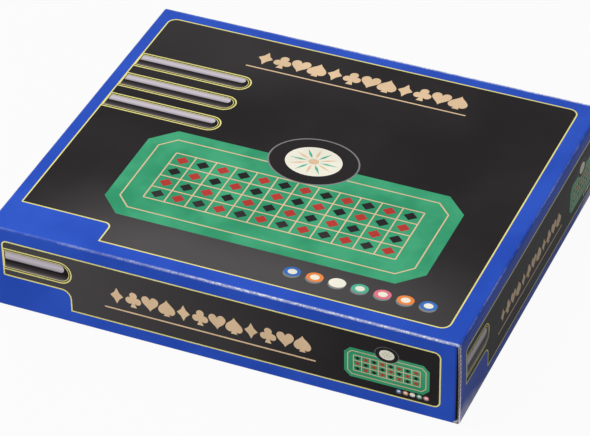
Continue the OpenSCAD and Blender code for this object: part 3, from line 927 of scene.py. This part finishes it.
class CASE_OT_cloth(bpy.types.Operator):
    """Felt playing cloth, folded twice on the tray's floor"""
    bl_idname = "case.cloth"
    bl_label = "Playing cloth"

    def execute(self, context):
        settings = context.scene.cloth_settings
        length, width, layer = settings.length, settings.width, settings.layer
        edge_x = CLOTH_HIGH.x - 1.6 * layer
        fold_a, fold_b = math.pi * layer / 2, math.pi * 1.5 * layer

        def stations(total, bend, fine, coarse):
            """Distances along the sheet: close together in the fold, and the same both ways."""
            half = (total - bend) / 2
            flat, fold = np.linspace(0, half, coarse), half + np.linspace(0, bend, fine)[1:-1]
            return np.concatenate([flat, fold, total - flat[::-1]])

        half_u, half_v = (length - fold_a) / 2, (width - fold_b) / 2
        left = edge_x - half_u
        front = (CLOTH_LOW.y + CLOTH_HIGH.y) / 2 - half_v / 2 - layer * 0.7
        mid_z = CLOTH_LOW.z + layer / 2
        bm = bmesh.new()
        flat = bm.loops.layers.uv.new("flat")
        grid = []
        for u in stations(length, fold_a, 9, 60):
            row = []
            if u < half_u:
                x, rise = left + u, 0.0
            elif u > length - half_u:
                x, rise = left + (length - u), layer
            else:
                a = (u - half_u) / fold_a * math.pi
                x, rise = edge_x + layer / 2 * math.sin(a), layer / 2 * (1 - math.cos(a))
            for v in stations(width, fold_b, 13, 34):
                if v < half_v:
                    y, z = front + v, rise
                elif v > width - half_v:
                    y, z = front + (width - v), 3 * layer - rise
                else:
                    a = (v - half_v) / fold_b * math.pi
                    r = 1.5 * layer - rise
                    y, z = front + half_v + r * math.sin(a), 1.5 * layer - r * math.cos(a)
                wave = 0.04 * layer * math.sin(x * 61 + y * 23) * math.sin(y * 47)
                row.append((bm.verts.new((x, y, mid_z + z + wave)), u / length, v / width))
            grid.append(row)
        for a, b in zip(grid, grid[1:]):
            for corners in zip(a, b, b[1:], a[1:]):
                face = bm.faces.new([corner[0] for corner in corners])
                face.smooth = True
                for loop, corner in zip(face.loops, corners):
                    loop[flat].uv = corner[1:]
        cloth = sheet_piece("felt_cloth", bm, "playing_cloth", felt_cloth(),
                            layer * 0.86)
        return {"FINISHED"}


class CASE_OT_leaflet(bpy.types.Operator):
    """Rules leaflet: one sheet of paper folded once, on the cloth"""
    bl_idname = "case.leaflet"
    bl_label = "Leaflet"

    def execute(self, context):
        low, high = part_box("rules_leaflet")
        layer = (high.z - low.z) / 2
        steps, reach, radius = 6, high.y - layer, layer / 2
        path = [(low.y, low.z + radius), (reach, low.z + radius)]
        for k in range(1, steps):
            a = math.pi * k / steps
            path.append((reach + radius * math.sin(a), low.z + layer - radius * math.cos(a)))
        path += [(reach, high.z - radius), (low.y + 0.001, high.z - radius)]
        bm = bmesh.new()
        rows = [[bm.verts.new((x, y, z)) for x in np.linspace(low.x, high.x, 22)]
                for y, z in path]
        for a, b in zip(rows, rows[1:]):
            for corners in zip(a, a[1:], b[1:], b):
                bm.faces.new(corners).smooth = True
        sheet_piece("folded_leaflet", bm, "rules_leaflet", leaflet_paper(),
                    layer * 0.8)
        return {"FINISHED"}


def refinish(material, *nodes):
    for node in nodes:
        thing = NODES[node]
        thing.data.materials.clear()
        thing.data.materials.append(material)


class CASE_OT_insert(bpy.types.Operator):
    """Formed black sheet that holds the wheel and the play pieces"""
    bl_idname = "case.insert"
    bl_label = "Insert"

    def execute(self, context):
        refinish(formed_plastic(), "insert")
        return {"FINISHED"}


class CASE_OT_wheel(bpy.types.Operator):
    """Wheel: bowl, rotor with its coloured pockets, number ring with numerals, turret"""
    bl_idname = "case.wheel"
    bl_label = "Wheel"

    def execute(self, context):
        settings = context.scene.wheel_settings
        refinish(moulded_plastic("bowl_black_gloss", linear(22, 21, 23), 0.16, 0.8), "wheel_bowl")
        refinish(rotor_plastic(), "rotor")
        refinish(ring_card(), "number_ring")
        refinish(metal("steel_pin", (0.62, 0.62, 0.63), 0.2, True), "spindle_pin")
        refinish(metal("brass_washer", (0.78, 0.6, 0.3), 0.25), "thrust_washer")
        refinish(metal("turret_gold", (0.86, 0.62, 0.26), 0.14), "turret_post", "turret_cross",
                 "turret_nut")
        self.numerals(settings.numeral)
        return {"FINISHED"}

    def numerals(self, size):
        """Raised numbers round the ring, one per pocket, feet towards the axis."""
        low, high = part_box("number_ring")
        run, height = (RING_OUTER - RING_INNER) * MM, 0.00006
        slope = (high.z - low.z - RING_EDGE * MM) / run
        top = low.z + RING_EDGE * MM + slope * run / 2
        on_ring = (Matrix.Translation(((RING_INNER + RING_OUTER) / 2 * MM, 0, top + 0.00005))
                   @ Matrix.Rotation(-math.atan(slope), 4, "Y")
                   @ Matrix.Rotation(-math.pi / 2, 4, "Z")
                   @ Matrix.Scale(NUMERAL_WIDTH, 4, (1, 0, 0)))
        bm = bmesh.new()
        for index, number in enumerate(WHEEL_ORDER):
            curve = bpy.data.curves.new("numeral", "FONT")
            curve.body, curve.size, curve.extrude = str(number), size * MM * FONT_SIZE, height
            curve.align_x, curve.align_y, curve.resolution_u = "CENTER", "CENTER", 3
            mesh = evaluated(new_object("numeral", curve))
            angle = math.tau * (index + 0.5) / POCKETS
            mesh.transform(Matrix.Translation(WHEEL) @ Matrix.Rotation(angle, 4, "Z") @ on_ring)
            bm.from_mesh(mesh)
            bpy.data.curves.remove(curve)
            bpy.data.meshes.remove(mesh)
        bmesh.ops.remove_doubles(bm, verts=bm.verts, dist=1e-7)
        piece("ring_numerals", take(bm, "ring_numerals"), "rotor_body", (),
              [moulded_plastic("numeral_white", linear(218, 212, 198), 0.35, 0.05)])


class CASE_OT_rake(bpy.types.Operator):
    """Rake: varnished stick, black grip and blade"""
    bl_idname = "case.rake"
    bl_label = "Rake"

    def execute(self, context):
        refinish(turned_wood(), "rake_stick")
        refinish(moulded_plastic("rake_black", linear(26, 25, 26), 0.3, 0.5), "rake_grip",
                 "rake_blade")
        return {"FINISHED"}


class CASE_OT_balls(bpy.types.Operator):
    """Two white balls"""
    bl_idname = "case.balls"
    bl_label = "Balls"

    def execute(self, context):
        refinish(moulded_plastic("ball_white", linear(226, 224, 216), 0.12, 0.1), "balls")
        return {"FINISHED"}


CHIP_COLOURS = {"blue": (38, 84, 168), "orange": (226, 112, 40), "white": (226, 222, 210),
                "green": (36, 136, 88), "pink": (214, 104, 138)}
CHIPS = 18                 # chips in a stack
CHIP_GAP = 0.00006         # gap between two chips of a stack
INLAYS = 6                 # inlays round a chip
INLAY_LENGTH = 0.0042
INLAY_DEPTH = 0.0001
SUNK = 0.00002             # how deep an inlay's foot lies in the chip


class CASE_OT_chips(bpy.types.Operator):
    """Chips in five colours, with pale inlays round their edges"""
    bl_idname = "case.chips"
    bl_label = "Chips"

    def execute(self, context):
        tree, ids = self.inlay_tree()
        inlay = chip_plastic("chip_inlay", linear(222, 215, 198))
        dark = chip_plastic("chip_inlay_dark", linear(48, 48, 54))
        for colour, tone in CHIP_COLOURS.items():
            node = "chips_" + colour
            refinish(chip_plastic(node + "_plastic", linear(*tone)), node)
            low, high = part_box(node)
            pitch = (high.y - low.y + CHIP_GAP) / CHIPS
            centre = (low + high) / 2
            holder = new_object(node + "_inlays", bpy.data.meshes.new("empty"))
            holder.data.materials.append(dark if colour == "white" else inlay)
            modifier = holder.modifiers.new("Inlays", "NODES")
            modifier.node_group = tree
            values = {"Radius": (high.z - low.z) / 2 - SUNK, "Chips": CHIPS, "Pitch": pitch,
                      "Spots": INLAYS, "Length": INLAY_LENGTH, "Width": pitch * 0.62,
                      "Depth": INLAY_DEPTH,
                      "Centre": (centre.x, low.y + (pitch - CHIP_GAP) / 2, centre.z),
                      "Material": holder.data.materials[0]}
            for name, value in values.items():
                modifier[ids[name]] = value
            piece(node + "_inlays", evaluated(holder), "insert_body")
        return {"FINISHED"}

    def inlay_tree(self):
        """Inlay blocks round each chip of a stack; each block follows the rim's curve."""
        tree = bpy.data.node_groups.new("Edge inlays", "GeometryNodeTree")
        kinds = {"Radius": "Float", "Chips": "Int", "Pitch": "Float", "Spots": "Int",
                 "Length": "Float", "Width": "Float", "Depth": "Float", "Centre": "Vector",
                 "Material": "Material"}
        ids = {name: tree.interface.new_socket(
            name, in_out="INPUT", socket_type="NodeSocket" + kind).identifier
            for name, kind in kinds.items()}
        tree.interface.new_socket("Geometry", in_out="OUTPUT", socket_type="NodeSocketGeometry")
        nodes = Nodes(tree)
        given = dict(zip(kinds, nodes.node("NodeGroupInput").all()))

        def make(kind, inputs=(), mode=None):
            return nodes.node("GeometryNode" + kind, {"mode": mode} if mode else None, inputs)

        def vector(x=0, y=0, z=0):
            return nodes.node("ShaderNodeCombineXYZ", None, [x, y, z])

        # one block: a small grid bent round the rim, raised, and closed by its own foot
        grid = make("MeshGrid", {"Size X": given["Length"], "Size Y": given["Width"],
                                 "Vertices X": 5, "Vertices Y": 2})
        x, y, z = nodes.node("ShaderNodeSeparateXYZ", None, [make("InputPosition")]).all()
        angle = x / given["Radius"]
        bent = make("SetPosition", {"Geometry": grid, "Position": vector(
            angle.sin() * given["Radius"], y, angle.of("COSINE") * given["Radius"])})
        raised = make("ExtrudeMesh", {
            "Mesh": bent, "Offset Scale": given["Depth"], "Individual": False})
        both = make("JoinGeometry", [raised])
        nodes.put(both.socket.node.inputs[0], make("FlipFaces", [bent]))
        block = make("MergeByDistance", {"Geometry": both, "Distance": 1e-6})

        # round the chip, then along the stack, each chip turned by its own angle
        ring = make("MeshLine", {"Count": given["Spots"], "Offset": (0, 0, 0)}, "OFFSET")
        turn = make("InputIndex") * math.tau / given["Spots"]
        spots = make("InstanceOnPoints", {
            "Points": ring, "Instance": block, "Rotation": vector(y=turn)})
        stack = make("MeshLine", {"Count": given["Chips"], "Start Location": given["Centre"],
                                  "Offset": vector(y=given["Pitch"])}, "OFFSET")
        own = nodes.node("FunctionNodeRandomValue", {"data_type": "FLOAT"},
                         {2: 0.0, 3: 1.0, "Seed": 7}, output=1)
        whole = make("RealizeInstances", [make("InstanceOnPoints", {
            "Points": stack, "Instance": spots, "Rotation": vector(y=own)})])
        nodes.node("NodeGroupOutput", None, [make("SetMaterial", {
            "Geometry": whole, "Material": given["Material"]})])
        return tree, ids


FLOOR_REACH, FLOOR_DROP = 8.0, 0.00005       # the floor's half width and its gap to the case
CASE_MIDDLE = Vector((0, 0, 0.03))
# each lamp's place, width and height, and its share of the key light's power
LAMPS = {"key_overhead": ((-0.9, -0.5, 2.2), 1.8, 1.8, 1.0),
         "fill_front": ((-0.7, -2.4, 0.9), 1.6, 1.0, 0.54)}
# the camera that was fitted to the photograph: its place, and its right, down and ahead
CAMERA_PLACE = (0.6354, -1.4736, 1.2438)
CAMERA_RIGHT = Vector((0.92065881, 0.39018118, -0.01208344))
CAMERA_DOWN = Vector((0.22781888, -0.56217485, -0.79502075))
CAMERA_AHEAD = Vector((-0.31699514, 0.72919002, -0.60646187))


class CASE_OT_stage(bpy.types.Operator):
    """Pale floor, soft studio light and the camera"""
    bl_idname = "case.stage"
    bl_label = "Stage"

    def execute(self, context):
        scene, settings = context.scene, context.scene.stage_settings
        scene.view_settings.view_transform = "Standard"

        mesh, s = bpy.data.meshes.new("floor"), FLOOR_REACH
        mesh.from_pydata([(-s, -s, 0), (s, -s, 0), (s, s, 0), (-s, s, 0)], [], [(0, 1, 2, 3)])
        floor = new_object("floor", mesh)
        floor.location.z = -FLOOR_DROP
        finish = Finish("floor_white", base_color=(0.3, 0.3, 0.31), roughness=0.9,
                        specular_ior_level=0.2)
        white = finish.node("ShaderNodeEmission", None, {"Color": (1, 1, 1), "Strength": 1.0})
        finish.node("ShaderNodeOutputMaterial", {"is_active_output": True},
                    [finish.seen_white(finish.shader, white, 0.95)])
        mesh.materials.append(finish.material)

        scene.world = bpy.data.worlds.new("studio")
        scene.world.use_nodes = True
        sky = Nodes(scene.world.node_tree)
        plain, white = (sky.node("ShaderNodeBackground", None, {
            "Color": (1, 1, 1), "Strength": strength}) for strength in (settings.sky, 1.0))
        sky.node("ShaderNodeOutputWorld", None, [sky.seen_white(plain, white, 1.0)])

        for name, (where, width, height, share) in LAMPS.items():
            lamp = bpy.data.lights.new(name, "AREA")
            lamp.shape, lamp.size, lamp.size_y = "RECTANGLE", width, height
            lamp.energy = settings.key * share
            thing = new_object(name, lamp)
            thing.location = where
            aim = CASE_MIDDLE - Vector(where)
            thing.rotation_euler = aim.to_track_quat("-Z", "Y").to_euler()

        camera = bpy.data.cameras.new("camera")
        camera.sensor_width, camera.lens = 36.0, settings.lens
        camera.clip_start, camera.clip_end = 0.1, 60
        axes = Matrix((CAMERA_RIGHT, -CAMERA_DOWN, -CAMERA_AHEAD)).transposed().to_4x4()
        scene.camera = new_object("camera", camera)
        scene.camera.matrix_world = Matrix.Translation(CAMERA_PLACE) @ axes
        return {"FINISHED"}


class CASE_PT_panel(bpy.types.Panel):
    """Lists the steps that dress the case"""
    bl_idname = "CASE_PT_panel"
    bl_label = "Game case"
    bl_space_type = "VIEW_3D"
    bl_region_type = "UI"
    bl_category = "Game case"

    def draw(self, context):
        for step in STEPS:
            self.layout.operator(step.bl_idname)
        for name in SETTINGS:
            group = getattr(context.scene, name)
            for key in group.bl_rna.properties.keys():
                if key not in ("rna_type", "name"):
                    self.layout.prop(group, key)


STEPS = (CASE_OT_lid, CASE_OT_tray, CASE_OT_cloth, CASE_OT_leaflet, CASE_OT_insert, CASE_OT_wheel,
         CASE_OT_rake, CASE_OT_balls, CASE_OT_chips, CASE_OT_stage)
SETTINGS = {"case_settings": CaseSettings, "wheel_settings": WheelSettings,
            "cloth_settings": ClothSettings, "stage_settings": StageSettings}


def register():
    for name, group in SETTINGS.items():
        bpy.utils.register_class(group)
        setattr(bpy.types.Scene, name, bpy.props.PointerProperty(type=group))
    for step in STEPS:
        bpy.utils.register_class(step)
    bpy.utils.register_class(CASE_PT_panel)


def unregister():
    bpy.utils.unregister_class(CASE_PT_panel)
    for step in reversed(STEPS):
        bpy.utils.unregister_class(step)
    for name, group in SETTINGS.items():
        delattr(bpy.types.Scene, name)
        bpy.utils.unregister_class(group)


def main():
    register()
    for step in STEPS:
        area, name = step.bl_idname.split(".")
        getattr(getattr(bpy.ops, area), name)()


if __name__ == "__main__":
    main()
